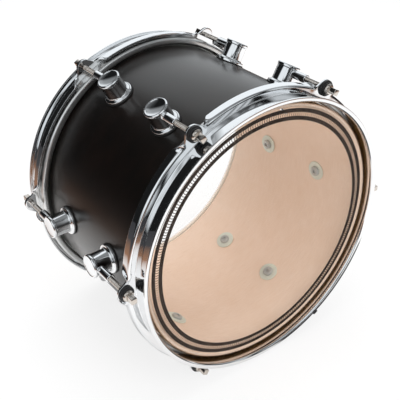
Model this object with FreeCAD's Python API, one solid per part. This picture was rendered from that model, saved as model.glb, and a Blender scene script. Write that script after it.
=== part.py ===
import FreeCAD
import Part
import math
import os

# A rack tom lying on its side: wooden shell, two clear heads, two pressed steel hoops.
# Millimetres, +Z up. The drum's axis is level: the batter head faces -Y, the resonant head +Y.
# Each half is built about its own axis, with w measured outwards from the middle of the shell.

# Shell
shell_outer_radius = 152.4
shell_wall = 7.0
shell_depth = 228.6
edge_back_cut = 0.8

# Air vent
vent_angle = 30.0
vent_bore_radius = 2.7
vent_tube_wall = 1.0
vent_flange_width = 3.3
vent_flange_thickness = 1.2

# Stations around the drum
station_count = 6

# Heads
film_ply = 0.25
film_past_edge = 0.7
film_slope_run = 1.7
film_slope_drop = 2.3
film_bend = 1.2
film_edge_straight = 5.0
film_groove_depth = 5.0
control_ring_margin = 4.8
control_ring_width = 12.6
control_ring_thickness = 0.3
flesh_hoop_drop = 13.0
flesh_hoop_inner_wall = 1.6
flesh_hoop_width = 8.6
flesh_hoop_height = 11.5
flesh_hoop_top_round = 0.8
flesh_hoop_bottom_round = 3.0

# Hoops
hoop_sheet = 2.3
hoop_bend = 0.9
hoop_lip_flat = 1.4
hoop_rise = 10.5
hoop_skirt_height = 7.6
ear_radius = 9.0
ear_root_half_width = 17.0
gusset_skirt_offset = 27.0
gusset_ear_offset = 13.0
gusset_ear_length = 2.6
gusset_last_tilt = 8.0
gusset_sections = 5

# Tension rods and their washers
rod_radius = 2.75
rod_engagement = 20.0
rod_tip_chamfer = 0.8
rod_flange_radius = 6.2
rod_flange_thickness = 1.2
rod_dome_inset = 1.3
rod_dome_height = 1.6
rod_key_side = 6.35
rod_key_height = 9.2
rod_key_chamfer = 0.6
rod_washer_overhang = 2.4
rod_washer_thickness = 2.4
rod_step_overhang = 1.0
rod_step_height = 2.0

# Lugs, their sleeve nuts, gaskets and screws
lug_inset = 69.5
lug_post_radius = 12.4
lug_cap_overhang = 0.6
lug_cap_height = 3.4
lug_cap_chamfer = 1.0
lug_cap_above_rod = 7.6
lug_cap_rim = 2.0
lug_dish_depth = 0.5
lug_flange_width = 3.6
lug_flange_height = 2.4
lug_flange_round = 1.0
lug_neck_round = 2.2
gasket_thickness = 1.2
gasket_overhang = 0.7
nut_wall = 1.95
nut_reach = 31.0
nut_reserve = 16.0
nut_end_wall = 3.0
nut_rim_chamfer = 0.5
screw_radius = 2.5
screw_tip_gap = 2.2
screw_head_radius = 6.2
screw_head_height = 3.2
screw_head_chamfer = 1.2
screw_socket_side = 4.0
screw_socket_depth = 1.8
screw_washer_radius = 12.0
screw_washer_thickness = 1.2

# Clearances
film_shell_clearance = 2.6
film_hoop_clearance = 1.0
skirt_clearance = 2.7
rod_skirt_clearance = 0.25
thread_clearance = 0.05
rod_hole_clearance = 0.35
nut_clearance = 0.03
screw_hole_clearance = 0.30
vent_clearance = 0.10
groove_clearance = 0.20

# Radii from the drum's axis
shell_inner_radius = shell_outer_radius - shell_wall
edge_peak_radius = shell_outer_radius - edge_back_cut
film_edge_radius = shell_outer_radius + film_shell_clearance
control_ring_radius = edge_peak_radius - control_ring_margin
flesh_hoop_inner_radius = film_edge_radius - flesh_hoop_inner_wall
flesh_hoop_outer_radius = flesh_hoop_inner_radius + flesh_hoop_width
hoop_wall_radius = film_edge_radius + film_hoop_clearance
skirt_inner_radius = flesh_hoop_outer_radius + skirt_clearance
skirt_outer_radius = skirt_inner_radius + hoop_sheet
rod_circle_radius = skirt_outer_radius + rod_skirt_clearance + rod_radius
lug_seat_radius = shell_outer_radius + gasket_thickness
lug_top_radius = rod_circle_radius + lug_cap_above_rod
screw_washer_seat = math.sqrt(shell_inner_radius ** 2 - screw_washer_radius ** 2)

# Stations along the axis
half_depth = shell_depth / 2
shoulder_under = half_depth - flesh_hoop_drop
shoulder_top = shoulder_under + hoop_sheet
rod_step = shoulder_top + rod_washer_thickness
rod_seat = rod_step + rod_step_height
lug_station = half_depth - lug_inset
nut_front = lug_station + nut_reach
nut_bore_bottom = nut_front - rod_engagement - nut_reserve
nut_bottom = nut_bore_bottom - nut_end_wall

# Sizes that follow from the ones above
hoop_outside_bend = hoop_bend + hoop_sheet
skirt_straight = hoop_skirt_height - hoop_bend
nut_radius = rod_radius + thread_clearance + nut_wall
lug_cap_radius = lug_post_radius + lug_cap_overhang
lug_flange_radius = lug_post_radius + lug_flange_width
screw_tip_radius = rod_circle_radius - nut_radius - nut_clearance - screw_tip_gap
rest_height = skirt_outer_radius
station_step = 360.0 / station_count

centre = FreeCAD.Vector(0, 0, 0)
axis_x = FreeCAD.Vector(1, 0, 0)
axis_y = FreeCAD.Vector(0, 1, 0)
axis_z = FreeCAD.Vector(0, 0, 1)


# A point of a section, at radius r and station w.
def at(r, w):
    return FreeCAD.Vector(r, 0, w)


def direction(start, end):
    return (end - start).normalize()


# Straight runs through the points, with a tangent arc of the given radius at each inner point.
def rounded_edges(points, radii):
    edges = []
    last = points[0]
    for before, corner, after, radius in zip(points, points[1:], points[2:], radii):
        arriving = direction(before, corner)
        leaving = direction(corner, after)
        half_turn = arriving.getAngle(leaving) / 2
        start = corner - arriving * radius * math.tan(half_turn)
        end = corner + leaving * radius * math.tan(half_turn)
        inwards = (leaving - arriving).normalize()
        middle = corner + inwards * radius * (1 / math.cos(half_turn) - 1)
        edges.append(Part.makeLine(last, start))
        edges.append(Part.Arc(start, middle, end).toShape())
        last = end
    edges.append(Part.makeLine(last, points[-1]))
    return edges


# The points moved to the left of their line by the given distance, in the plane of r and w.
def left_of(points, distance):
    moved = []
    last = len(points) - 1
    for i, point in enumerate(points):
        before = direction(points[max(i - 1, 0)], points[max(i, 1)])
        after = direction(points[min(i, last - 1)], points[min(i + 1, last)])
        side = at(-before.z - after.z, before.x + after.x).normalize()
        moved.append(point + side * (distance / side.dot(at(-after.z, after.x))))
    return moved


def turns_left(before, corner, after):
    arriving = corner - before
    leaving = after - corner
    return arriving.x * leaving.z - arriving.z * leaving.x > 0


# The end of a sheet, cut square or rounded off.
def end_edge(before, start, end, is_round):
    if not is_round:
        return Part.makeLine(start, end)
    middle = (start + end) / 2 + direction(before, start) * (start.distanceToPoint(end) / 2)
    return Part.Arc(start, middle, end).toShape()


# A bent sheet turned about the axis: the points are one face of it, and the sheet lies to their left.
def turned_sheet(points, radii, thickness, round_start=False):
    other = left_of(points, thickness)
    other_radii = []
    for before, corner, after, radius in zip(points, points[1:], points[2:], radii):
        change = -thickness if turns_left(before, corner, after) else thickness
        other_radii.append(radius + change)
    edges = rounded_edges(points, radii)
    edges.append(Part.makeLine(points[-1], other[-1]))
    edges += rounded_edges(other[::-1], other_radii[::-1])
    edges.append(end_edge(other[1], other[0], points[0], round_start))
    return Part.Face(Part.Wire(edges)).revolve(centre, axis_z, 360)


# A solid of revolution about the axis, from a closed outline in r and w.
def turned(points, radii=None):
    outline = [at(r, w) for r, w in points]
    if radii is None:
        wire = Part.makePolygon(outline + outline[:1])
    else:
        start = (outline[-1] + outline[0]) / 2
        wire = Part.Wire(rounded_edges([start] + outline + [start], radii))
    return Part.Face(wire).revolve(centre, axis_z, 360)


def cylinder(radius, low, high):
    return Part.makeCylinder(radius, high - low, at(0, low))


def tube(outer, inner, low, high):
    return cylinder(outer, low, high).cut(cylinder(inner, low, high))


def square_bar(side, low, high):
    return Part.makeBox(side, side, high - low, FreeCAD.Vector(-side / 2, -side / 2, low))


# From the w axis out to a tension rod's axis at the first station.
def on_rod(shape):
    return shape.translated(at(rod_circle_radius, 0))


# From the w axis to a radial axis that points out of the shell at the first station.
def on_shell(shape, station):
    return shape.rotated(centre, axis_y, 90).translated(at(0, station))


def around(shape, angle):
    return shape.rotated(centre, axis_z, angle)


# What is left of a shape inside or outside a cylinder about the drum's axis.
def inside(shape, radius):
    box = shape.BoundBox
    return shape.common(cylinder(radius, box.ZMin, box.ZMax))


def outside(shape, radius):
    box = shape.BoundBox
    return shape.cut(cylinder(radius, box.ZMin, box.ZMax))


# Shell: a ply tube with 45 degree bearing edges, lug screw holes and one vent hole.
def make_shell():
    edge_inner_cut = edge_peak_radius - shell_inner_radius
    shell = turned([
        (shell_inner_radius, edge_inner_cut - half_depth),
        (edge_peak_radius, -half_depth),
        (shell_outer_radius, edge_back_cut - half_depth),
        (shell_outer_radius, half_depth - edge_back_cut),
        (edge_peak_radius, half_depth),
        (shell_inner_radius, half_depth - edge_inner_cut),
    ])
    through = (shell_inner_radius - shell_wall, shell_outer_radius + shell_wall)
    screw_hole = cylinder(screw_radius + screw_hole_clearance, *through)
    for index in range(station_count):
        for station in (lug_station, -lug_station):
            shell = shell.cut(around(on_shell(screw_hole, station), station_step * index))
    vent_hole = cylinder(vent_bore_radius + vent_tube_wall + vent_clearance, *through)
    return shell.cut(around(on_shell(vent_hole, 0), vent_angle))


# Vent grommet: a tube through the wall, with a flange seated on each face of the wall.
def make_vent_grommet():
    low = shell_inner_radius - vent_flange_thickness
    high = shell_outer_radius + vent_flange_thickness
    tube_radius = vent_bore_radius + vent_tube_wall
    through = (low - shell_wall, high + shell_wall)
    flange = on_shell(tube(tube_radius + vent_flange_width, vent_bore_radius, *through), 0)
    barrel = on_shell(tube(tube_radius, vent_bore_radius, *through), 0)
    outer_flange = outside(inside(flange, high), shell_outer_radius)
    inner_flange = outside(inside(flange, shell_inner_radius), low)
    barrel = outside(inside(barrel, high), low)
    return around(barrel.fuse([outer_flange, inner_flange]).removeSplitter(), vent_angle)


# Film: flat over the bearing edge, then a collar that runs down into the flesh hoop's groove.
def make_film(ply):
    flat_end = edge_peak_radius + film_past_edge
    under = [
        at(0, half_depth),
        at(flat_end, half_depth),
        at(flat_end + film_slope_run, half_depth - film_slope_drop),
        at(film_edge_radius, shoulder_under + film_edge_straight),
        at(film_edge_radius, shoulder_under - film_groove_depth),
    ]
    lift = film_ply * ply
    bends = [film_bend + lift] * 3
    return turned_sheet(left_of(under, lift), bends, film_ply)


def make_control_ring():
    inner = control_ring_radius - control_ring_width
    return tube(control_ring_radius, inner, half_depth - control_ring_thickness, half_depth)


# Flesh hoop: a rounded aluminium ring with a groove in its top for the film's edge.
def make_flesh_hoop(plies):
    bottom = shoulder_under - flesh_hoop_height
    ring = turned(
        [
            (flesh_hoop_inner_radius, shoulder_under),
            (flesh_hoop_inner_radius, bottom),
            (flesh_hoop_outer_radius, bottom),
            (flesh_hoop_outer_radius, shoulder_under),
        ],
        [flesh_hoop_top_round, flesh_hoop_bottom_round, flesh_hoop_bottom_round, flesh_hoop_top_round],
    )
    groove_outer = film_edge_radius + film_ply * plies + groove_clearance
    groove_inner = film_edge_radius - groove_clearance
    return ring.cut(tube(groove_outer, groove_inner, shoulder_under - film_groove_depth, shoulder_top))


# Hoop: lip, wall and shoulder go right round; the skirt stops at each ear and turns out into it.
def make_hoop():
    lip_top = half_depth + hoop_rise
    lip_end = hoop_wall_radius + hoop_outside_bend + hoop_lip_flat
    inner_face = [
        at(lip_end, lip_top),
        at(hoop_wall_radius, lip_top),
        at(hoop_wall_radius, shoulder_under),
        at(skirt_inner_radius - hoop_bend, shoulder_under),
    ]
    hoop = turned_sheet(inner_face, [hoop_outside_bend] * 2, hoop_sheet, round_start=True)
    gap = math.degrees(gusset_skirt_offset / rod_circle_radius)
    skirt = Part.Face(skirt_section(90.0, skirt_straight)).revolve(centre, axis_z, station_step - 2 * gap)
    ear = make_ear().fuse([make_gusset(1), make_gusset(-1), around(skirt, gap)])
    hoop = hoop.fuse([around(ear, station_step * index) for index in range(station_count)])
    hole = on_rod(cylinder(rod_radius + rod_hole_clearance, shoulder_under, shoulder_top))
    hoop = hoop.cut([around(hole, station_step * index) for index in range(station_count)])
    return hoop.removeSplitter()


# One section of the turned-down edge: a bend from the shoulder, then a straight flap at the given tilt.
# A tongue at its root lies inside the shoulder, so that the two join without a crack.
def skirt_section(tilt, length):
    pivot = at(skirt_inner_radius - hoop_bend, shoulder_under - hoop_bend)
    slope = math.radians(tilt)
    along = at(math.cos(slope), -math.sin(slope)) * length

    def bend_points(radius):
        turns = (0, slope / 2, slope)
        return [pivot + at(math.sin(turn), math.cos(turn)) * radius for turn in turns]

    top, top_middle, top_end = bend_points(hoop_outside_bend)
    low, low_middle, low_end = bend_points(hoop_bend)
    tongue = (low + top) / 2 - at(hoop_sheet / 2, 0)
    return Part.Wire([
        Part.Arc(top, top_middle, top_end).toShape(),
        Part.makeLine(top_end, top_end + along),
        end_edge(top_end, top_end + along, low_end + along, True),
        Part.makeLine(low_end + along, low_end),
        Part.Arc(low_end, low_middle, low).toShape(),
        Part.makeLine(low, tongue),
        Part.makeLine(tongue, top),
    ])


# Gusset: the turned-down edge swings out and shortens as it runs into the ear.
def make_gusset(side):
    sections = []
    for index in range(gusset_sections):
        share = index / (gusset_sections - 1)
        ease = (1 - math.cos(math.pi * share)) / 2
        offset = gusset_skirt_offset + (gusset_ear_offset - gusset_skirt_offset) * share
        tilt = 90.0 + (gusset_last_tilt - 90.0) * ease
        length = skirt_straight + (gusset_ear_length - skirt_straight) * ease
        turn = side * math.degrees(offset / rod_circle_radius)
        sections.append(around(skirt_section(tilt, length), turn))
    return Part.makeLoft(sections, True, False)


# Ear: a flat tab in line with the shoulder, rounded about the tension rod.
def make_ear():
    root = skirt_inner_radius - hoop_bend - hoop_sheet
    back = rod_circle_radius - root
    span = math.hypot(back, ear_root_half_width)
    touch_angle = math.atan2(ear_root_half_width, -back) - math.acos(ear_radius / span)
    touch = (rod_circle_radius + ear_radius * math.cos(touch_angle), ear_radius * math.sin(touch_angle))
    corners = [
        FreeCAD.Vector(root, -ear_root_half_width, shoulder_under),
        FreeCAD.Vector(touch[0], -touch[1], shoulder_under),
        FreeCAD.Vector(touch[0], touch[1], shoulder_under),
        FreeCAD.Vector(root, ear_root_half_width, shoulder_under),
    ]
    web = Part.Face(Part.makePolygon(corners + corners[:1])).extrude(axis_z * hoop_sheet)
    return web.fuse(on_rod(cylinder(ear_radius, shoulder_under, shoulder_top)))


# Tension rod: threaded shank, domed flange and square key head.
def make_rod():
    tip = nut_front - rod_engagement
    dome = rod_seat + rod_flange_thickness
    top = dome + rod_dome_height
    rod = turned([
        (0, tip),
        (rod_radius - rod_tip_chamfer, tip),
        (rod_radius, tip + rod_tip_chamfer),
        (rod_radius, rod_seat),
        (rod_flange_radius, rod_seat),
        (rod_flange_radius, dome),
        (rod_flange_radius - rod_dome_inset, top),
        (0, top),
    ])
    key = square_bar(rod_key_side, dome, top + rod_key_height)
    key_rim = [edge for edge in key.Edges if edge.BoundBox.ZMin > top]
    return on_rod(rod.fuse(key.makeChamfer(rod_key_chamfer, key_rim)).removeSplitter())


# Rod washer: a plastic disc on the ear, with a smaller step under the rod's flange.
def make_rod_washer():
    hole = rod_radius + rod_hole_clearance
    disc_radius = rod_flange_radius + rod_washer_overhang
    step_radius = rod_flange_radius + rod_step_overhang
    return on_rod(turned([
        (hole, shoulder_top),
        (disc_radius, shoulder_top),
        (disc_radius, rod_step),
        (step_radius, rod_step),
        (step_radius, rod_seat),
        (hole, rod_seat),
    ]))


# Lug: a turned post with a flared foot, saddled to the shell and cross-bored for its sleeve nut.
def make_lug():
    low = shell_outer_radius - lug_flange_height
    foot = lug_seat_radius + lug_flange_height
    cap = lug_top_radius - lug_cap_height
    dish_radius = lug_cap_radius - lug_cap_rim
    post = turned([
        (0, low),
        (lug_flange_radius, low),
        (lug_flange_radius, foot),
        (lug_post_radius, foot),
        (lug_post_radius, cap - lug_cap_overhang),
        (lug_cap_radius, cap),
        (lug_cap_radius, lug_top_radius - lug_cap_chamfer),
        (lug_cap_radius - lug_cap_chamfer, lug_top_radius),
        (dish_radius, lug_top_radius),
        (dish_radius - lug_dish_depth, lug_top_radius - lug_dish_depth),
        (0, lug_top_radius - lug_dish_depth),
    ])
    post = post.makeFillet(lug_neck_round, circles_at(post, lug_post_radius, foot))
    post = post.makeFillet(lug_flange_round, circles_at(post, lug_flange_radius, foot))
    screw_hole = cylinder(screw_radius + thread_clearance, low, screw_tip_radius + screw_tip_gap / 2)
    post = outside(on_shell(post.cut(screw_hole), lug_station), lug_seat_radius)
    return post.cut(on_rod(cylinder(nut_radius + nut_clearance, nut_bottom, nut_front)))


def circles_at(shape, radius, height):
    target = cylinder(radius, height, height + radius).Edges[-1].BoundBox
    return [edge for edge in shape.Edges if same_box(edge.BoundBox, target)]


def same_box(a, b):
    corners = [(a.XMax, b.XMax), (a.YMax, b.YMax), (a.ZMin, b.ZMin), (a.ZMax, b.ZMax)]
    return all(abs(mine - other) < 1e-6 for mine, other in corners)


# Sleeve nut: the threaded tube that reaches from the lug towards the hoop.
def make_nut():
    nut = turned([
        (0, nut_bottom),
        (nut_radius, nut_bottom),
        (nut_radius, nut_front - nut_rim_chamfer),
        (nut_radius - nut_rim_chamfer, nut_front),
        (0, nut_front),
    ])
    return on_rod(nut.cut(cylinder(rod_radius + thread_clearance, nut_bore_bottom, nut_front)))


# Gasket: a rubber pad the shape of the shell, between it and the lug's foot.
def make_gasket():
    hole = screw_radius + screw_hole_clearance
    disc = tube(lug_flange_radius + gasket_overhang, hole, shell_inner_radius, lug_top_radius)
    return outside(inside(on_shell(disc, lug_station), lug_seat_radius), shell_outer_radius)


# Lug screw: a socket screw from inside the shell, through its washer, into the post.
def make_screw():
    seat = screw_washer_seat - screw_washer_thickness
    low = seat - screw_head_height
    screw = turned([
        (0, low),
        (screw_head_radius - screw_head_chamfer, low),
        (screw_head_radius, low + screw_head_chamfer),
        (screw_head_radius, seat),
        (screw_radius, seat),
        (screw_radius, screw_tip_radius),
        (0, screw_tip_radius),
    ])
    return on_shell(screw.cut(square_bar(screw_socket_side, low, low + screw_socket_depth)), lug_station)


def make_screw_washer():
    hole = screw_radius + screw_hole_clearance
    seat = screw_washer_seat
    return on_shell(tube(screw_washer_radius, hole, seat - screw_washer_thickness, seat), lug_station)


# From a half's own axis to the drum lying on its side.
def placed(shape, side):
    half_turn = 180 if side == "resonant" else 0
    lying = shape.rotated(centre, axis_y, half_turn).rotated(centre, axis_x, 90)
    return lying.translated(axis_z * rest_height)


def export(name, shapes, side):
    pieces = [placed(shape, side) for shape in shapes]
    whole = pieces[0] if len(pieces) == 1 else Part.makeCompound(pieces)
    whole.exportStep("parts/" + name + ".step")
    print(name, len(whole.Solids), "solids", round(whole.Volume), "mm3", "valid", whole.isValid())


# Batter stations run anticlockwise from +X; resonant ones are mirrored, so that both rows line up.
def station_angles(side):
    angles = [station_step * index for index in range(station_count)]
    return angles if side == "batter" else [180.0 - angle for angle in angles]


os.makedirs("parts", exist_ok=True)
singles = {"lug": make_lug(), "lug_nut": make_nut(), "rod": make_rod()}
groups = {
    "lug_gaskets": make_gasket(),
    "lug_screws": make_screw(),
    "screw_washers": make_screw_washer(),
    "rod_washers": make_rod_washer(),
}
hoop = make_hoop()
for side in ("batter", "resonant"):
    angles = station_angles(side)
    for name, shape in singles.items():
        for number, angle in enumerate(angles, 1):
            export(f"{side}_{name}_{number}", [around(shape, angle)], side)
    for name, shape in groups.items():
        export(f"{side}_{name}", [around(shape, angle) for angle in angles], side)
    export(f"{side}_hoop", [hoop], side)
export("shell", [make_shell()], "batter")
export("vent_grommet", [make_vent_grommet()], "batter")
export("batter_bottom_film", [make_film(0)], "batter")
export("batter_top_film", [make_film(1)], "batter")
export("batter_control_ring", [make_control_ring()], "batter")
export("batter_flesh_hoop", [make_flesh_hoop(2)], "batter")
export("resonant_film", [make_film(0)], "resonant")
export("resonant_flesh_hoop", [make_flesh_hoop(1)], "resonant")
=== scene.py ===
import bpy
import bmesh
import math
from mathutils import Matrix, Vector


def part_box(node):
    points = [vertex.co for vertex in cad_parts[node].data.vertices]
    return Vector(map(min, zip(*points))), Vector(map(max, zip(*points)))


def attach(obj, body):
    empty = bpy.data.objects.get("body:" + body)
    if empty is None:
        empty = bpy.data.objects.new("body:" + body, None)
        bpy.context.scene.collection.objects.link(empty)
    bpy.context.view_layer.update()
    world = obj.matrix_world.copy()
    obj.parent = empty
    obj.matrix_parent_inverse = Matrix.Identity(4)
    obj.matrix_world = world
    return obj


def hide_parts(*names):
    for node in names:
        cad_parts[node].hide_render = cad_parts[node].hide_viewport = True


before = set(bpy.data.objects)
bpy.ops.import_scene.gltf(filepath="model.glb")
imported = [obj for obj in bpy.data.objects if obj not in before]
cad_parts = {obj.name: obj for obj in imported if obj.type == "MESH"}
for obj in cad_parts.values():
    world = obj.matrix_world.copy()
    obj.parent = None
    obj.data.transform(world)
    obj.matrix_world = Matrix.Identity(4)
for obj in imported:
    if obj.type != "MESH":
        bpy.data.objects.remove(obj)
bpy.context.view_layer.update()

mm = 0.001

# the drum lies on its side: its axis is level, the batter head looks to -Y
shellLow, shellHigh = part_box("shell")
axisHeight = (shellLow.z + shellHigh.z) / 2
edge = shellHigh.y                                # bearing edge, from the middle of the shell
shellRadius = (shellHigh.z - shellLow.z) / 2
rodLow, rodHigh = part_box("batter_rod_1")
rodCircle = (rodLow.x + rodHigh.x) / 2
lugLow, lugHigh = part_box("batter_lug_1")
lugStation = -(lugLow.y + lugHigh.y) / 2
lugTop = lugHigh.x
stationCount = 6
stations = range(1, stationCount + 1)
sideTurn = {"batter": 0.0, "resonant": math.pi}
allSides = tuple(sideTurn)


# places on the drum

def onAxis(side):
    lying = Matrix.Translation((0, 0, axisHeight)) @ Matrix.Rotation(math.pi / 2, 4, "X")
    return lying @ Matrix.Rotation(sideTurn[side], 4, "Y")


def stationAngle(side, number):
    turn = 2 * math.pi * (number - 1) / stationCount
    return turn if side == "batter" else math.pi - turn


def onStation(side, number):
    return onAxis(side) @ Matrix.Rotation(stationAngle(side, number), 4, "Z")


def onRod(side, number):
    return onStation(side, number) @ Matrix.Translation((rodCircle, 0, 0))


def onShell(side, number):
    outwards = Matrix.Rotation(math.pi / 2, 4, "Y")
    return onStation(side, number) @ Matrix.Translation((0, 0, lugStation)) @ outwards


# modelling steps

meshWork = {"seed": 10 * mm, "weld": 0.001 * mm, "cornerSteps": 6}


def clearPick():
    if bpy.context.mode != "OBJECT":
        bpy.ops.object.mode_set(mode="OBJECT")
    bpy.ops.object.select_all(action="DESELECT")


def pick(piece):
    clearPick()
    piece.select_set(True)
    bpy.context.view_layer.objects.active = piece


def startPoint(name, point):
    clearPick()
    bpy.ops.mesh.primitive_plane_add(size=meshWork["seed"])
    piece = bpy.context.object
    piece.name = name
    bpy.ops.object.mode_set(mode="EDIT")
    bpy.ops.mesh.select_all(action="SELECT")
    bpy.ops.mesh.merge(type="CENTER")             # the plane shrinks to one point
    bpy.ops.transform.translate(value=point)
    return piece


def drawProfile(points):                          # each point is a radius and a way along the axis
    for (r0, w0), (r1, w1) in zip(points, points[1:]):
        bpy.ops.mesh.extrude_vertices_move(TRANSFORM_OT_translate={"value": (r1 - r0, 0, w1 - w0)})


def roundCorners(piece, corners):
    for (r, w), radius in corners.items():
        corner = Vector((r, 0, w))
        mesh = bmesh.from_edit_mesh(piece.data)
        nearest = min(mesh.verts, key=lambda point: (point.co - corner).length)
        bpy.ops.mesh.select_all(action="DESELECT")
        nearest.select = True
        bmesh.update_edit_mesh(piece.data)
        bpy.ops.mesh.bevel(offset_type="OFFSET", offset=radius, segments=meshWork["cornerSteps"],
                           affect="VERTICES")


def weldAll():
    bpy.ops.mesh.select_all(action="SELECT")
    bpy.ops.mesh.remove_doubles(threshold=meshWork["weld"])


def lathe(name, points, steps, corners=None, isRing=False):
    outline = points + points[:1] if isRing else points
    piece = startPoint(name, (outline[0][0], 0, outline[0][1]))
    drawProfile(outline)
    weldAll()
    roundCorners(piece, corners or {})
    bpy.ops.mesh.select_all(action="SELECT")
    bpy.ops.mesh.spin(steps=steps, angle=2 * math.pi, center=(0, 0, 0), axis=(0, 0, 1))
    weldAll()
    bpy.ops.mesh.normals_make_consistent(inside=False)
    bpy.ops.object.mode_set(mode="OBJECT")
    return piece


def applyModifier(piece, kind, **settings):
    pick(piece)
    bpy.ops.object.modifier_add(type=kind)
    modifier = piece.modifiers[-1]
    for name, value in settings.items():
        setattr(modifier, name, value)
    bpy.ops.object.modifier_apply(modifier=modifier.name)


def soften(piece, width, segments=2, sharper=30):  # rounds the edges that turn by more than these degrees
    applyModifier(piece, "BEVEL", width=width, segments=segments, limit_method="ANGLE",
                  angle_limit=math.radians(sharper), use_clamp_overlap=True)


def cutWith(piece, cutter, operation="DIFFERENCE"):
    applyModifier(piece, "BOOLEAN", object=cutter, operation=operation, solver="EXACT")
    bpy.data.objects.remove(cutter)


def copyOf(piece, name, place):
    copy = piece.copy()
    copy.data = piece.data.copy()
    copy.name = name
    copy.data.name = name
    bpy.context.collection.objects.link(copy)
    copy.data.transform(place)
    return copy


def joined(name, pieces):
    clearPick()
    for piece in pieces:
        piece.select_set(True)
    bpy.context.view_layer.objects.active = pieces[0]
    bpy.ops.object.join()
    whole = bpy.context.object
    whole.name = name
    whole.data.name = name
    return whole


def atAllStations(name, shape, side, place):      # six copies in one piece
    return joined(name, [copyOf(shape, "copy", place(side, number)) for number in stations])


def handIn(piece, finish, body, slot, *nodes, smoothTo=32):
    pick(piece)
    bpy.ops.object.shade_smooth_by_angle(angle=math.radians(smoothTo))
    piece.data.materials.clear()
    piece.data.materials.append(finish)
    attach(piece, body)
    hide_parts(*nodes)


# finishes

class Wire:                                       # one output of a node tree
    def __init__(self, tree, socket=None):
        self.tree = tree
        self.socket = socket

    def node(self, kind, settings=None, inputs=None, output=0):
        made = self.tree.nodes.new("ShaderNode" + kind)
        for name, value in (settings or {}).items():
            setattr(made, name, value)
        for name, value in (inputs or {}).items():
            if isinstance(value, Wire):
                self.tree.links.new(value.socket, made.inputs[name])
            else:
                made.inputs[name].default_value = value
        return Wire(self.tree, made.outputs[output] if made.outputs else None)

    def math(self, operation, *values):
        return self.node("Math", {"operation": operation}, dict(enumerate(values)))

    def __add__(self, other):
        return self.math("ADD", self, other)

    def __radd__(self, other):
        return self.math("ADD", other, self)

    def __sub__(self, other):
        return self.math("SUBTRACT", self, other)

    def __rsub__(self, other):
        return self.math("SUBTRACT", other, self)

    def __mul__(self, other):
        return self.math("MULTIPLY", self, other)

    def __rmul__(self, other):
        return self.math("MULTIPLY", other, self)

    def __truediv__(self, other):
        return self.math("DIVIDE", self, other)

    def __rtruediv__(self, other):
        return self.math("DIVIDE", other, self)

    def above(self, level, soft):                 # 0 below the level, 1 over it
        return self.node("MapRange", {"clamp": True},
                         {"Value": self, "From Min": level - soft, "From Max": level + soft})

    def between(self, low, high, soft):
        return self.above(low, soft) * (1 - self.above(high, soft))

    def blend(self, other, share):                # of two numbers
        return self * (1 - share) + other * share

    def mix(self, first, second):                 # of two colours
        return self.node("Mix", {"data_type": "RGBA"}, {0: self, 6: first, 7: second}, 2)

    def axes(self):                               # the three numbers of a place or a direction
        return [self.node("SeparateXYZ", None, {0: self}, axis) for axis in "XYZ"]

    def vectorMath(self, operation, other):       # one number from two vectors
        return self.node("VectorMath", {"operation": operation}, {0: self, 1: other}, "Value")


def srgb(red, green, blue):
    def straight(value):
        share = value / 255
        return share / 12.92 if share <= 0.04045 else ((share + 0.055) / 1.055) ** 2.4
    return (straight(red), straight(green), straight(blue), 1.0)


black = (0.0, 0.0, 0.0, 1)
white = (1.0, 1.0, 1.0, 1)


class Finish:                                     # a material, its coordinates and its shader
    def __init__(self, name):
        self.material = bpy.data.materials.new(name)
        self.material.use_nodes = True
        tree = self.material.node_tree
        tree.nodes.clear()
        self.start = Wire(tree)
        self.place = self.start.node("TexCoord", output="Object")
        self.x, self.y, self.z = self.place.axes()

    def radius(self):                             # from the drum's axis
        up = self.z - axisHeight
        return self.start.math("SQRT", self.x * self.x + up * up)

    def angle(self):
        return self.start.math("ARCTAN2", self.z - axisHeight, self.x)

    def noise(self, scale, detail, vector=None, rough=0.55):
        return self.start.node("TexNoise", None, {
            "Vector": vector or self.place, "Scale": scale, "Detail": detail, "Roughness": rough}, "Fac")

    def vector(self, x, y, z):
        return self.start.node("CombineXYZ", None, {"X": x, "Y": y, "Z": z})

    def bump(self, height, distance, strength):
        return self.start.node("Bump", None, {"Height": height, "Distance": distance, "Strength": strength})

    def surface(self, **inputs):
        named = {name.replace("_", " "): value for name, value in inputs.items()}
        shader = self.start.node("BsdfPrincipled", None, named)
        self.start.node("OutputMaterial", None, {"Surface": shader})
        return self.material


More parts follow.
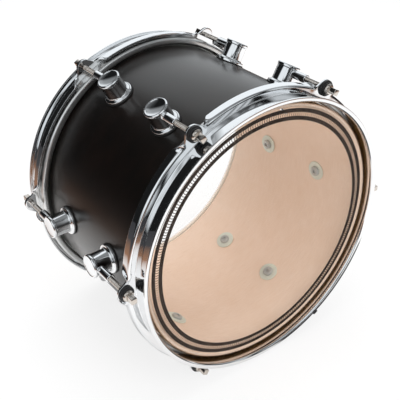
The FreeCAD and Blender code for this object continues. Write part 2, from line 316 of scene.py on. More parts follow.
def shellFinish():                                # stained lacquer outside, bare maple plies inside
    stain = {"tones": (srgb(3, 2, 2), srgb(20, 10, 7)), "around": 30, "along": 800, "detail": 4.0,
             "clouded": 0.35, "at": 0.56, "soft": 0.14}
    maple = {"tones": (srgb(234, 213, 196), srgb(222, 195, 172)), "around": 60, "along": 700, "detail": 3.0,
             "clouded": 0.3, "at": 0.5, "soft": 0.25}
    plies = {"thick": 1.0 * mm, "glue": srgb(178, 140, 110), "glueAt": 0.42 * mm, "glueSoft": 0.04 * mm,
             "cutZone": 6.0 * mm, "cutSoft": 0.05 * mm}
    skin = {"deep": 0.3 * mm, "soft": 0.1 * mm, "stainRough": 0.38, "mapleRough": 0.56, "spread": 0.06,
            "cloud": 28.0, "grainRough": 0.6, "stainRelief": 0.5, "relief": 0.04 * mm, "strength": 0.4,
            "coat": 0.56}
    wood = Finish("stainedShell")
    radius = wood.radius()
    arc = wood.angle() * shellRadius
    cloud = wood.noise(skin["cloud"], 2.0)

    def grained(look):
        stretched = wood.vector(arc * look["around"], wood.y * look["along"], 0.0)
        grain = wood.noise(1.0, look["detail"], stretched, skin["grainRough"])
        deeper = grain.blend(cloud, look["clouded"]).above(look["at"], look["soft"])
        return grain, deeper.mix(*look["tones"])

    outside = radius.above(shellRadius - skin["deep"], skin["soft"])
    stainGrain, stainTone = grained(stain)
    mapleGrain, mapleTone = grained(maple)
    inPly = wood.start.math("PINGPONG", radius, plies["thick"] / 2)
    glueLine = inPly.above(plies["glueAt"], plies["glueSoft"])
    fromMiddle = wood.start.math("ABSOLUTE", wood.y)
    cut = fromMiddle.above(edge - plies["cutZone"], plies["cutSoft"]) * (1 - outside)
    bare = (glueLine * cut).mix(mapleTone, plies["glue"])
    smoother = skin["stainRough"] - skin["mapleRough"]
    rough = outside * smoother + skin["mapleRough"] + stainGrain * skin["spread"]
    height = outside * stainGrain * skin["stainRelief"] + (1 - outside) * mapleGrain
    return wood.surface(Base_Color=outside.mix(bare, stainTone), Roughness=rough,
                        Normal=wood.bump(height, skin["relief"], skin["strength"]),
                        Coat_Weight=outside * skin["coat"], Coat_Roughness=0.22,
                        Specular_IOR_Level=0.34, Specular_Tint=(1.0, 0.93, 0.84, 1))


def chromeFinish():
    look = {"tones": ((0.80, 0.81, 0.82, 1), (0.87, 0.875, 0.88, 1)), "haze": 35.0, "fine": 900.0,
            "rough": 0.035, "spread": 0.03, "relief": 0.004 * mm, "strength": 0.25}
    plate = Finish("chromePlate")
    haze = plate.noise(look["haze"], 4.0)
    fine = plate.noise(look["fine"], 2.0)
    return plate.surface(Base_Color=haze.mix(*look["tones"]), Metallic=1.0,
                         Roughness=look["rough"] + haze * look["spread"],
                         Normal=plate.bump(fine, look["relief"], look["strength"]))


def rodFinish():
    look = {"tones": (srgb(216, 209, 202), srgb(188, 178, 168)), "wear": 160.0, "at": 0.5, "soft": 0.2,
            "rough": 0.1, "spread": 0.1, "relief": 0.01 * mm, "strength": 0.2}
    plate = Finish("rodNickel")
    worn = plate.noise(look["wear"], 4.0)
    return plate.surface(Base_Color=worn.above(look["at"], look["soft"]).mix(*look["tones"]), Metallic=1.0,
                         Roughness=look["rough"] + worn * look["spread"],
                         Normal=plate.bump(worn, look["relief"], look["strength"]))


def aluminiumFinish():                            # fine turning marks, round the ring
    look = {"tones": ((0.70, 0.70, 0.69, 1), (0.80, 0.80, 0.79, 1)), "marks": 5200, "wander": 3,
            "rough": 0.24, "spread": 0.12, "relief": 0.02 * mm, "strength": 0.3}
    metal = Finish("fleshAluminium")
    around = metal.angle() * look["wander"]
    marks = metal.vector(metal.radius() * look["marks"], metal.y * look["marks"], around)
    turned = metal.noise(1.0, 2.0, marks)
    return metal.surface(Base_Color=turned.mix(*look["tones"]), Metallic=1.0,
                         Roughness=look["rough"] + turned * look["spread"],
                         Normal=metal.bump(turned, look["relief"], look["strength"]))


def fleckedFinish(name, look):                    # two tones of one fleck, which varies the gloss too
    flecked = Finish(name)
    fleck = flecked.noise(look["fleck"], look["detail"])
    relief = {}
    if "relief" in look:
        relief["Normal"] = flecked.bump(fleck, look["relief"], look["strength"])
    return flecked.surface(Base_Color=fleck.mix(*look["tones"]), Metallic=look["metallic"],
                           Roughness=look["rough"] + fleck * look["spread"], **relief)


zincLook = {"tones": (srgb(168, 170, 167), srgb(190, 191, 187)), "fleck": 420.0, "detail": 3.0,
            "metallic": 0.3, "rough": 0.4, "spread": 0.15}
steelLook = {"tones": (srgb(206, 212, 200), srgb(222, 226, 214)), "fleck": 300.0, "detail": 3.0,
             "metallic": 0.2, "rough": 0.42, "spread": 0.12}
nylonLook = {"tones": (srgb(16, 16, 17), srgb(34, 33, 33)), "fleck": 700.0, "detail": 3.0,
             "metallic": 0.0, "rough": 0.36, "spread": 0.2, "relief": 0.03 * mm, "strength": 0.3}
rubberLook = {"tones": (srgb(12, 12, 12), srgb(26, 25, 25)), "fleck": 500.0, "detail": 4.0,
              "metallic": 0.0, "rough": 0.6, "spread": 0.2, "relief": 0.05 * mm, "strength": 0.4}

stainedWood = shellFinish()
chrome = chromeFinish()
nickel = rodFinish()
zinc = fleckedFinish("screwZinc", zincLook)
washerSteel = fleckedFinish("washerSteel", steelLook)
nylon = fleckedFinish("washerNylon", nylonLook)
rubber = fleckedFinish("gasketRubber", rubberLook)
aluminium = aluminiumFinish()
print("finishes mixed")


# shell: one turned tube with a cut edge at each end and a vent hole

shellSize = {"wall": 7.0 * mm, "peak": 0.8 * mm, "round": 0.3 * mm, "roundFrom": 20, "steps": 216}
ventSize = {"radius": 3.8 * mm, "turn": math.radians(30), "sides": 48, "cut": 50 * mm}


def buildShell():
    inner = shellRadius - shellSize["wall"]
    peak = shellRadius - shellSize["peak"]
    inside = edge - (peak - inner)
    outside = edge - shellSize["peak"]
    outline = [(inner, -inside), (peak, -edge), (shellRadius, -outside),
               (shellRadius, outside), (peak, edge), (inner, inside)]
    shell = lathe("shellBody", outline, shellSize["steps"], isRing=True)
    soften(shell, shellSize["round"], sharper=shellSize["roundFrom"])
    turn = ventSize["turn"]
    place = Vector((math.cos(turn), math.sin(turn), 0)) * shellRadius
    clearPick()
    bpy.ops.mesh.primitive_cylinder_add(vertices=ventSize["sides"], radius=ventSize["radius"],
                                        depth=ventSize["cut"], location=place,
                                        rotation=(0, math.pi / 2, turn))
    cutWith(shell, bpy.context.object)
    shell.data.transform(onAxis("batter"))
    handIn(shell, stainedWood, "shell", "shell_lacquer", "shell")


buildShell()
print("shell turned")


# heads: clear film over the edge, print ring under it, aluminium ring that grips it

filmSize = {"flat": 0.7 * mm, "slopeRun": 1.7 * mm, "slopeDrop": 2.3 * mm, "reach": 2.6 * mm,
            "wallTop": 8.0 * mm, "wallEnd": 18.0 * mm, "bend": 0.7 * mm, "rows": 4, "steps": 192}
filmLook = {"tones": (srgb(248, 244, 238), srgb(242, 238, 232)), "cloud": 9.0, "uneven": 0.2, "rough": 0.12,
            "spread": 0.06}
films = {
    "batter": {"thickness": 0.5 * mm, "finish": "clearBatterFilm", "haze": 0.007,
               # the amber margin is painted shade: the bearing edge shaded under the hoop's lip
               "margin": srgb(150, 106, 58), "marginAt": 150.4 * mm, "marginSoft": 1.8 * mm, "cover": 0.3,
               "nodes": ("batter_top_film", "batter_bottom_film")},
    "resonant": {"thickness": 0.25 * mm, "finish": "clearResonantFilm", "haze": 0.03,
                 # the near-white margin and its glow are painted light over the shaded gap at the far
                 # bearing edge
                 "margin": srgb(245, 241, 233), "marginAt": 145.4 * mm, "marginSoft": 2.0 * mm,
                 "cover": 0.9, "glow": (0.1, 0.11, 0.11, 1), "nodes": ("resonant_film",)},
}
fleshSize = {"inner": 153.4 * mm, "outer": 162.0 * mm, "top": 13.0 * mm, "bottom": 24.5 * mm,
             "topRound": 0.8 * mm, "bottomRound": 3.0 * mm, "steps": 192}
printSize = {"width": 12.6 * mm, "steps": 192}
printLook = {"ink": srgb(46, 36, 30), "thin": srgb(74, 56, 44), "bandLow": 0.335, "bandHigh": 0.665,
             "bandSoft": 0.012, "lines": 296, "slant": 1.2, "lineAt": 0.34, "lineSoft": 0.05, "cover": 0.5,
             "grain": 1500.0, "rough": 0.5, "spread": 0.1}


def filmFinish(film):
    clear = Finish(film["finish"])
    cloud = clear.noise(filmLook["cloud"], 2.0)
    # the margin band: on the batter film its amber paints shade under the hoop's lip; on the resonant film
    # its near-white tone and glow paint light over the far edge's gap
    marginBand = clear.radius().above(film["marginAt"], film["marginSoft"])  # the film is less clear there
    glow = {}
    if "glow" in film:                            # painted glow, standing in for light that the film lets through
        glow = {"Emission_Color": marginBand.mix(black, film["glow"]), "Emission_Strength": 1.0}
    cover = marginBand * (film["cover"] - film["haze"]) + film["haze"]
    patchy = 1 - filmLook["uneven"] / 2 + cloud * filmLook["uneven"]
    return clear.surface(Base_Color=marginBand.mix(cloud.mix(*filmLook["tones"]), film["margin"]),
                         Roughness=filmLook["rough"] + cloud * filmLook["spread"], Specular_IOR_Level=0.5,
                         Alpha=patchy * cover, **glow)


def printFinish(inner, outer):                    # two solid stripes with a hatched band between them
    look = printLook
    ink = Finish("ringPrint")
    across = (ink.radius() - inner) / (outer - inner)
    solid = 1 - across.between(look["bandLow"], look["bandHigh"], look["bandSoft"])
    fromMiddle = ink.start.math("ABSOLUTE", across - 0.5)
    zigzag = ink.angle() * (look["lines"] / (2 * math.pi)) + fromMiddle * look["slant"]
    hatch = ink.start.math("PINGPONG", zigzag, 0.5).above(look["lineAt"], look["lineSoft"])
    cover = ink.start.math("MAXIMUM", solid, hatch * look["cover"])
    grain = ink.noise(look["grain"], 2.0)
    return ink.surface(Base_Color=solid.mix(look["thin"], look["ink"]), Alpha=cover,
                       Roughness=look["rough"] + grain * look["spread"], Specular_IOR_Level=0.1)


def buildFilm(side):
    size, film = filmSize, films[side]
    flatEnd = shellRadius - shellSize["peak"] + size["flat"]
    slopeEnd = (flatEnd + size["slopeRun"], edge - size["slopeDrop"])
    wallRadius = shellRadius + size["reach"]
    wallTop = (wallRadius, edge - size["wallTop"])
    bends = {corner: size["bend"] for corner in [(flatEnd, edge), slopeEnd, wallTop]}
    outline = [(flatEnd * row / size["rows"], edge) for row in range(size["rows"] + 1)]
    outline += [slopeEnd, wallTop, (wallRadius, edge - size["wallEnd"])]
    sheet = lathe(side + "Film", outline, size["steps"], bends)
    applyModifier(sheet, "SOLIDIFY", thickness=film["thickness"], offset=1.0)
    sheet.data.transform(onAxis(side))
    handIn(sheet, filmFinish(film), side + "_head", "clear_film", *film["nodes"])


def buildFlesh(side):
    size = fleshSize
    low, high = edge - size["bottom"], edge - size["top"]
    inner, outer = size["inner"], size["outer"]
    rounds = {(inner, high): size["topRound"], (outer, high): size["topRound"],
              (inner, low): size["bottomRound"], (outer, low): size["bottomRound"]}
    outline = [(inner, low), (outer, low), (outer, high), (inner, high)]
    flesh = lathe(side + "FleshHoop", outline, size["steps"], rounds, isRing=True)
    flesh.data.transform(onAxis(side))
    handIn(flesh, aluminium, side + "_head", "flesh_aluminium", side + "_flesh_hoop")


def buildPrintRing():
    low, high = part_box("batter_control_ring")
    outer = high.x
    inner = outer - printSize["width"]
    top, bottom = -low.y, -high.y
    outline = [(inner, bottom), (outer, bottom), (outer, top), (inner, top)]
    ring = lathe("batterPrintRing", outline, printSize["steps"], isRing=True)
    ring.data.transform(onAxis("batter"))
    handIn(ring, printFinish(inner, outer), "batter_head", "ring_print", "batter_control_ring")


for side in allSides:
    buildFilm(side)
for side in allSides:
    buildFlesh(side)
buildPrintRing()
print("heads stretched")


# hoop: the lip, wall and shoulder are turned, then the rim is drawn out into skirt, gussets and ears

hoopSize = {"sheet": 2.3 * mm, "bend": 2.05 * mm, "lipTop": 10.5 * mm, "lipEnd": 161.6 * mm,
            "wall": 157.15 * mm, "shoulder": 11.85 * mm, "pivot": 163.8 * mm, "skirt": 7.7 * mm,
            "gussetFlap": 3.7 * mm, "gussetFar": 27.0 * mm, "gussetNear": 11.0 * mm, "earRadius": 9.0 * mm,
            "earRoot": 161.5 * mm, "earHalf": 17.0 * mm, "rim": 0.9 * mm, "rimSteps": 3, "rimFrom": 60,
            "smoothTo": 40}
hoopRows = {"columns": 72, "gather": 0.62, "bend": 6, "flap": 6, "flat": 0.3}  # columns are for one station


def earReach(turn):                               # from the axis to the ear's outline
    size = hoopSize
    back = rodCircle - size["earRoot"]
    slant = math.acos(size["earRadius"] / math.hypot(back, size["earHalf"]))
    touch = math.atan2(size["earHalf"], -back) - slant
    tipX = rodCircle + size["earRadius"] * math.cos(touch)
    tipY = size["earRadius"] * math.sin(touch)
    if turn <= math.atan2(tipY, tipX):
        across = rodCircle * math.sin(turn)
        return rodCircle * math.cos(turn) + math.sqrt(size["earRadius"] ** 2 - across ** 2)
    runX, runY = size["earRoot"] - tipX, size["earHalf"] - tipY
    return (tipX * runY - tipY * runX) / (runY * math.cos(turn) - runX * math.sin(turn))


def flapAt(turn):                                 # tilt and length of the turned edge
    size = hoopSize
    offset = abs(turn) * rodCircle
    share = (size["gussetFar"] - offset) / (size["gussetFar"] - size["gussetNear"])
    ease = (1 - math.cos(math.pi * min(max(share, 0), 1))) / 2
    length = size["skirt"] + (size["gussetFlap"] - size["skirt"]) * ease
    if abs(turn) < math.atan2(size["earHalf"], size["earRoot"]):
        length = max(length, earReach(abs(turn)) - size["pivot"])
    return math.pi / 2 * (1 - ease), length


def gatherColumns(hoop):                          # moves the spun columns closer together at the ears
    for point in hoop.data.vertices:
        turn = math.atan2(point.co.y, point.co.x)
        shift = -hoopRows["gather"] * math.sin(stationCount * turn) / stationCount
        point.co = Matrix.Rotation(shift, 3, "Z") @ point.co


def drawRim(hoop, bendShare, flapShare):          # pulls the picked rim out by one row
    size = hoopSize
    step = 2 * math.pi / stationCount
    bpy.ops.mesh.extrude_edges_move()
    mesh = bmesh.from_edit_mesh(hoop.data)
    for point in [v for v in mesh.verts if v.select]:
        turn = math.atan2(point.co.y, point.co.x)
        tilt, length = flapAt(turn - step * round(turn / step))
        bent = tilt * bendShare
        flat = hoopRows["flat"] * (1 - math.sin(tilt))  # with no bend, its rows spread along the ear
        run = length * (flat * bendShare + (1 - flat) * flapShare)
        r = size["pivot"] + size["bend"] * math.sin(bent) + run * math.cos(tilt)
        w = edge - size["shoulder"] - size["bend"] * (1 - math.cos(bent)) - run * math.sin(tilt)
        point.co = (r * math.cos(turn), r * math.sin(turn), w)
    bmesh.update_edit_mesh(hoop.data)


def pressHoop():
    size = hoopSize
    lip = edge + size["lipTop"] - size["sheet"] / 2
    shoulder = edge - size["shoulder"]
    bends = {(size["wall"], lip): size["bend"], (size["wall"], shoulder): size["bend"]}
    outline = [(size["lipEnd"], lip), (size["wall"], lip),
               (size["wall"], shoulder), (size["pivot"], shoulder)]
    hoop = lathe("hoopSheet", outline, hoopRows["columns"] * stationCount, bends)
    gatherColumns(hoop)
    pick(hoop)
    bpy.ops.object.mode_set(mode="EDIT")
    bpy.ops.mesh.select_mode(type="EDGE")
    bpy.ops.mesh.select_all(action="DESELECT")
    mesh = bmesh.from_edit_mesh(hoop.data)
    for line in mesh.edges:
        line.select = line.is_boundary and line.verts[0].co.z < edge
    bmesh.update_edit_mesh(hoop.data)
    for row in range(1, hoopRows["bend"] + 1):
        drawRim(hoop, row / hoopRows["bend"], 0)
    for row in range(1, hoopRows["flap"] + 1):
        drawRim(hoop, 1, row / hoopRows["flap"])
    bpy.ops.mesh.select_mode(type="VERT")
    bpy.ops.mesh.select_all(action="SELECT")
    bpy.ops.mesh.normals_make_consistent(inside=False)
    bpy.ops.object.mode_set(mode="OBJECT")
    applyModifier(hoop, "SOLIDIFY", thickness=size["sheet"], offset=0.0, use_even_offset=True)
    soften(hoop, size["rim"], size["rimSteps"], size["rimFrom"])
    return hoop


hoopSheet = pressHoop()
for side in allSides:
    hoop = copyOf(hoopSheet, side + "Hoop", onAxis(side))
    handIn(hoop, chrome, side + "_hoop", "chrome_plate", side + "_hoop", smoothTo=hoopSize["smoothTo"])
bpy.data.objects.remove(hoopSheet)
print("hoops pressed")


# tension rods with their washers: along the rod, measured from the bearing edge

rodSize = {"radius": 2.75 * mm, "tip": -58.5 * mm, "chamfer": 0.8 * mm, "seat": -6.3 * mm,
           "flange": 6.2 * mm, "flangeHeight": 1.2 * mm, "domeInset": 1.3 * mm, "domeHeight": 1.6 * mm,
           "round": 0.3 * mm, "key": 6.35 * mm, "keyHeight": 9.2 * mm, "keyChamfer": 0.6 * mm, "steps": 40}
threadSize = {"top": -20.0 * mm, "pitch": 25.4 / 24 * mm, "depth": 0.45 * mm, "crestFrom": 0.42,
              "crestTo": 0.55, "runOut": 0.6 * mm, "steps": 20}
washerSize = {"outer": 8.6 * mm, "step": 7.2 * mm, "inner": 3.1 * mm, "low": -10.7 * mm,
              "stepAt": -8.3 * mm, "high": -6.38 * mm, "round": 0.35 * mm, "roundSteps": 3, "steps": 48}


def buildThread():
    crest, pitch, steps = rodSize["radius"], threadSize["pitch"], threadSize["steps"]
    root = crest - threadSize["depth"]
    start = rodSize["tip"] + rodSize["chamfer"]
    low = edge + start
    thread = startPoint("rodThread", (root, 0, low))
    drawProfile([(root, low), (crest, low + pitch * threadSize["crestFrom"]),
                 (crest, low + pitch * threadSize["crestTo"]), (root, low + pitch)])
    bpy.ops.object.mode_set(mode="OBJECT")
    turns = int((threadSize["top"] - start) / pitch)
    applyModifier(thread, "SCREW", angle=2 * math.pi, steps=steps, render_steps=steps, screw_offset=pitch,
                  iterations=turns, axis="Z", use_merge_vertices=True, use_normal_calculate=True)
    return thread


def buildRod():
    size = rodSize
    seat, tip = edge + size["seat"], edge + size["tip"]
    dome = seat + size["flangeHeight"]
    top = dome + size["domeHeight"]
    root = size["radius"] - threadSize["depth"]
    plain = edge + threadSize["top"]
    outline = [(0, tip), (root - size["chamfer"] / 2, tip), (root, tip + size["chamfer"] / 2),
               (root, plain), (size["radius"], plain + threadSize["runOut"]), (size["radius"], seat),
               (size["flange"], seat), (size["flange"], dome), (size["flange"] - size["domeInset"], top),
               (0, top)]
    shank = lathe("rodShank", outline, size["steps"])
    soften(shank, size["round"])
    clearPick()
    bpy.ops.mesh.primitive_cube_add(size=1, location=(0, 0, (dome + top + size["keyHeight"]) / 2),
                                    scale=(size["key"], size["key"], top + size["keyHeight"] - dome))
    key = bpy.context.object
    bpy.ops.object.transform_apply(location=True, rotation=True, scale=True)
    soften(key, size["keyChamfer"])
    return joined("rod", [shank, buildThread(), key])


def buildWasher():
    size = washerSize
    low, stepAt, high = edge + size["low"], edge + size["stepAt"], edge + size["high"]
    outline = [(size["inner"], low), (size["outer"], low), (size["outer"], stepAt), (size["step"], stepAt),
               (size["step"], high), (size["inner"], high)]
    washer = lathe("rodWasher", outline, size["steps"], isRing=True)
    soften(washer, size["round"], size["roundSteps"])
    return washer


rod = buildRod()
washer = buildWasher()
for side in allSides:
    for number in stations:
        node = f"{side}_rod_{number}"
        copy = copyOf(rod, f"{side}Rod{number}", onRod(side, number))
        handIn(copy, nickel, node, "rod_nickel", node)
    group = atAllStations(side + "RodWashers", washer, side, onRod)
    handIn(group, nylon, side + "_hoop", "washer_nylon", side + "_rod_washers")
bpy.data.objects.remove(rod)
bpy.data.objects.remove(washer)
print("rods and washers set")


# lugs: turned posts saddled to the shell, with a rubber pad, a sleeve nut and a screw from inside

lugSize = {"post": 12.4 * mm, "cap": 13.0 * mm, "capHeight": 3.4 * mm, "overhang": 0.6 * mm,
           "chamfer": 1.0 * mm, "rim": 2.0 * mm, "dish": 0.5 * mm, "bowl": 0.5 * mm, "bowlTurn": (0.5, 0.7),
           "flange": 16.0 * mm, "flangeHeight": 2.4 * mm, "flangeRound": 1.0 * mm, "neck": 2.2 * mm,
           "round": 0.22 * mm, "roundFrom": 35, "steps": 72}
padSize = {"thick": 1.2 * mm, "over": 0.7 * mm, "blank": 4.0 * mm, "steps": 72}
nutSize = {"radius": 4.75 * mm, "front": -38.5 * mm, "back": -77.5 * mm, "bore": 2.8 * mm,
           "boreDepth": 6.0 * mm, "chamfer": 0.5 * mm, "round": 0.15 * mm, "steps": 48}
screwSize = {"head": 6.2 * mm, "height": 3.2 * mm, "chamfer": 1.2 * mm, "socket": 4.0 * mm,
             "depth": 1.8 * mm, "shank": 2.5 * mm, "round": 0.2 * mm, "steps": 40}
screwWasherSize = {"outer": 12.0 * mm, "hole": 2.8 * mm, "height": 1.2 * mm, "seat": 144.9 * mm,
                   "round": 0.3 * mm, "steps": 48}
cutterSize = {"sides": 256, "length": 200 * mm}


def seatCutter(radius):                           # the drum's own cylinder, seen from a lug's axis
    clearPick()
    bpy.ops.mesh.primitive_cylinder_add(vertices=cutterSize["sides"], radius=radius,
                                        depth=cutterSize["length"])
    cutter = bpy.context.object
    cutter.data.transform(Matrix.Rotation(math.pi / 2, 4, "Y"))
    return cutter


def buildLug():
    size = lugSize
    seat = shellRadius + padSize["thick"]
    low = shellRadius - size["flangeHeight"]
    foot = seat + size["flangeHeight"]
    cap = lugTop - size["capHeight"]
    dish = size["cap"] - size["rim"]
    dishFloor = lugTop - size["dish"]
    bowlOut, bowlDeep = size["bowlTurn"]          # shares of the dish's radius and of the bowl's depth
    rounds = {(size["flange"], foot): size["flangeRound"], (size["post"], foot): size["neck"]}
    outline = [(0, low), (size["flange"], low), (size["flange"], foot), (size["post"], foot),
               (size["post"], cap - size["overhang"]), (size["cap"], cap),
               (size["cap"], lugTop - size["chamfer"]), (size["cap"] - size["chamfer"], lugTop),
               (dish, lugTop), (dish - size["dish"], dishFloor),
               (dish * bowlOut, dishFloor - size["bowl"] * bowlDeep), (0, dishFloor - size["bowl"])]
    lug = lathe("lugPost", outline, size["steps"], rounds)
    soften(lug, size["round"], sharper=size["roundFrom"])
    cutWith(lug, seatCutter(seat))
    return lug


def buildPad():
    radius = lugSize["flange"] + padSize["over"]
    low, high = shellRadius - padSize["blank"], shellRadius + padSize["blank"]
    pad = lathe("lugPad", [(0, low), (radius, low), (radius, high), (0, high)], padSize["steps"])
    cutWith(pad, seatCutter(shellRadius + padSize["thick"]), "INTERSECT")
    cutWith(pad, seatCutter(shellRadius))
    return pad


def buildNut():
    size = nutSize
    front, back = edge + size["front"], edge + size["back"]
    outline = [(0, back), (size["radius"], back), (size["radius"], front - size["chamfer"]),
               (size["radius"] - size["chamfer"], front), (size["bore"], front),
               (size["bore"], front - size["boreDepth"]), (0, front - size["boreDepth"])]
    nut = lathe("sleeveNut", outline, size["steps"])
    soften(nut, size["round"])
    return nut


def buildScrew():
    size = screwSize
    top = screwWasherSize["seat"] - screwWasherSize["height"]
    low = top - size["height"]
    outline = [(0, low), (size["head"] - size["chamfer"], low), (size["head"], low + size["chamfer"]),
               (size["head"], top), (size["shank"], top), (size["shank"], shellRadius), (0, shellRadius)]
    screw = lathe("lugScrew", outline, size["steps"])
    clearPick()
    socketMiddle = low + size["depth"] - size["socket"] / 2
    bpy.ops.mesh.primitive_cube_add(size=size["socket"], location=(0, 0, socketMiddle))
    cutWith(screw, bpy.context.object)
    soften(screw, size["round"])
    return screw


def buildScrewWasher():
    size = screwWasherSize
    low, high = size["seat"] - size["height"], size["seat"]
    outline = [(size["hole"], low), (size["outer"], low), (size["outer"], high), (size["hole"], high)]
    washer = lathe("screwWasher", outline, size["steps"], isRing=True)
    soften(washer, size["round"])
    return washer


lug = buildLug()
nut = buildNut()
groups = [(buildPad(), "LugPads", "lug_gaskets", rubber, "gasket_rubber"),
          (buildScrew(), "LugScrews", "lug_screws", zinc, "screw_zinc"),
          (buildScrewWasher(), "ScrewWashers", "screw_washers", washerSteel, "screw_zinc")]
for side in allSides:
    for number in stations:
        post = copyOf(lug, f"{side}Lug{number}", onShell(side, number))
        handIn(post, chrome, "shell", "chrome_plate", f"{side}_lug_{number}")
        sleeve = copyOf(nut, f"{side}Nut{number}", onRod(side, number))
        handIn(sleeve, chrome, "shell", "chrome_plate", f"{side}_lug_nut_{number}")
    for shape, name, node, finish, slot in groups:
        group = atAllStations(side + name, shape, side, onShell)
        handIn(group, finish, "shell", slot, f"{side}_{node}")
for shape in [lug, nut] + [group[0] for group in groups]:
    bpy.data.objects.remove(shape)
print("lugs, nuts and screws fitted")


# vent grommet: the CAD solid carries the chrome

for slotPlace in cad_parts["vent_grommet"].material_slots:
    slotPlace.material = chrome
print("vent finished")


# stage: pale floor, soft light, camera

dark = (0.02, 0.02, 0.025, 1)
floorLook = {"size": 12.0, "parts": 8, "grey": (0.86, 0.86, 0.86, 1), "glow": 0.8, "sheen": 0.2,
             "mirrored": 0.75}
paper = {"middle": (0.15, -0.25, 0.0), "edge": 0.74, "soft": 0.16}
table = {"wood": (0.36, 0.16, 0.07, 1), "edge": 1.15, "soft": 0.35}
# a painted contact shadow on the paper beside the lower rim, seen only in reflections
paintedRimShadow = {"middle": (0.15, -0.16, 0.0), "edge": 0.13, "soft": 0.012}
panels = {"back": {"towards": (0.62, 0.62, 0.48), "edge": 0.79, "soft": 0.05, "level": 1.1},
          "left": {"towards": (-0.80, -0.20, 0.56), "edge": 0.90, "soft": 0.03, "level": 1.0},
          "front": {"towards": (-0.70, -0.68, 0.20), "edge": 0.965, "soft": 0.012, "level": 1.0},
          "high": {"towards": (-0.20, -0.70, 0.685), "edge": 0.94, "soft": 0.02, "level": 1.0}}
blind = {"towards": (0.35, -0.76, 0.54), "edge": 0.962, "soft": 0.01, "slats": 14, "slatAt": 0.22,
         "slatSoft": 0.06, "slat": 0.5, "gap": 0.3}
darkWall = {"towards": (-0.70, 0.68, 0.20), "edge": 0.70, "soft": 0.15}  # no strips of light on it
room = {"scale": 3.2, "detail": 0.5, "rise": 0.3, "at": 0.60, "soft": 0.05, "level": 0.7, "least": 0.012,
        "ceilingAt": 0.80, "ceilingSoft": 0.15, "ceiling": 0.25, "tint": (0.92, 0.965, 1.0, 1),
        "ambient": 0.72}
lamps = {"topSoftbox": {"place": (0.1, 0.35, 1.9), "size": 1.8, "power": 27.0, "aim": None},
         "frontSoftbox": {"place": (-0.1, -1.5, 1.2), "size": 1.2, "power": 14.0, "aim": (0, 0, 0.15)}}
view = {"place": Vector((-0.43461, -0.58754, 0.61951)), "right": Vector((0.80163, -0.59772, -0.0106)),
        "ahead": Vector((0.50054, 0.68079, -0.53478)), "lens": 65.03, "sensor": 36.0}


def rayKinds(start):                              # 1 for rays of that kind, else 0
    kinds = ("Camera", "Glossy", "Transmission")
    return [start.node("LightPath", output=f"Is {kind} Ray") for kind in kinds]


def buildFloor():
    clearPick()
    bpy.ops.mesh.primitive_grid_add(x_subdivisions=floorLook["parts"], y_subdivisions=floorLook["parts"],
                                    size=floorLook["size"])
    floor = bpy.context.object
    floor.name = "studioFloor"
    pale = Finish("paleFloor")
    start = pale.start
    seen, shiny, through = rayKinds(start)
    # metal sees the end of the paper, a wooden table and a dark room past it, and a painted contact shadow
    # on the paper by the rim
    away = pale.place.vectorMath("DISTANCE", paper["middle"])
    past = away.above(paper["edge"], paper["soft"]) * shiny
    beyond = away.above(table["edge"], table["soft"]).mix(table["wood"], dark)
    fromRimShadow = pale.place.vectorMath("DISTANCE", paintedRimShadow["middle"])
    # the painted shadow, for glossy rays only
    rimShadow = (1 - fromRimShadow.above(paintedRimShadow["edge"], paintedRimShadow["soft"])) * shiny
    tone = rimShadow.mix(past.mix(white, beyond), dark)
    lit = start.math("MAXIMUM", seen, through) * floorLook["glow"] + shiny * floorLook["sheen"]
    share = lit + start.math("MAXIMUM", past, rimShadow) * floorLook["mirrored"]
    matte = start.node("BsdfDiffuse", None, {"Color": floorLook["grey"]})
    glow = start.node("Emission", None, {"Color": tone, "Strength": 1.0})
    both = start.node("MixShader", None, {0: share, 1: matte, 2: glow})
    start.node("OutputMaterial", None, {"Surface": both})
    floor.data.materials.append(pale.material)


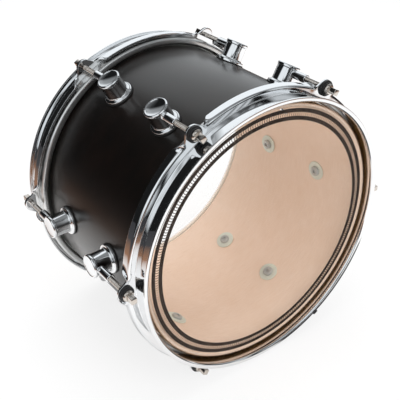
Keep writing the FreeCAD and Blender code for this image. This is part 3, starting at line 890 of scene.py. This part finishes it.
def buildWorld():                                 # metal sees panels in a dim room, all else an even sky
    world = bpy.data.worlds.new("studio")
    bpy.context.scene.world = world
    world.use_nodes = True
    tree = world.node_tree
    tree.nodes.clear()
    start = Wire(tree)
    seen, shiny, through = rayKinds(start)
    way = start.node("TexCoord", output="Generated")
    east, north, up = way.axes()

    def facing(panel):
        return way.vectorMath("DOT_PRODUCT", panel["towards"]).above(panel["edge"], panel["soft"])

    around = start.node("CombineXYZ", None, {
        "X": start.math("ARCTAN2", north, east), "Y": up * room["rise"], "Z": 0.0})
    strips = start.node("TexNoise", None, {
        "Vector": around, "Scale": room["scale"], "Detail": room["detail"]}, "Fac")
    ceiling = up.above(room["ceilingAt"], room["ceilingSoft"])
    walls = strips.above(room["at"], room["soft"]) * room["level"] * (1 - facing(darkWall))
    studio = walls * (1 - ceiling) + ceiling * room["ceiling"] + room["least"]
    for panel in panels.values():
        studio = start.math("MAXIMUM", studio, facing(panel) * panel["level"])
    slats = start.math("PINGPONG", up * blind["slats"], 0.5).above(blind["slatAt"], blind["slatSoft"])
    studio = start.math("MAXIMUM", studio, facing(blind) * (slats * blind["slat"] + blind["gap"]))
    direct = start.math("MAXIMUM", seen, through)
    strength = direct + (1 - direct) * (shiny * studio + (1 - shiny) * room["ambient"])
    sky = start.node("Background", None, {"Color": shiny.mix(white, room["tint"]), "Strength": strength})
    start.node("OutputWorld", None, {"Surface": sky})


def buildLamps():
    for name, look in lamps.items():
        clearPick()
        bpy.ops.object.light_add(type="AREA", location=look["place"])
        lamp = bpy.context.object
        lamp.name = name
        lamp.data.size = look["size"]
        lamp.data.energy = look["power"]
        lamp.visible_glossy = False               # metal sees the panels of the world instead
        if look["aim"]:                           # without one it looks straight down
            lamp.rotation_euler = (Vector(look["aim"]) - lamp.location).to_track_quat("-Z", "Y").to_euler()


def buildCamera():
    camUp = view["right"].cross(view["ahead"])
    turn = Matrix((view["right"], camUp, -view["ahead"])).transposed().to_4x4()
    clearPick()
    bpy.ops.object.camera_add()
    camera = bpy.context.object
    camera.name = "photoCamera"
    camera.matrix_world = Matrix.Translation(view["place"]) @ turn
    camera.data.lens = view["lens"]
    camera.data.sensor_width = view["sensor"]
    bpy.context.scene.camera = camera


buildFloor()
buildWorld()
buildLamps()
buildCamera()
bpy.context.scene.view_settings.view_transform = "Standard"
print("stage lit")
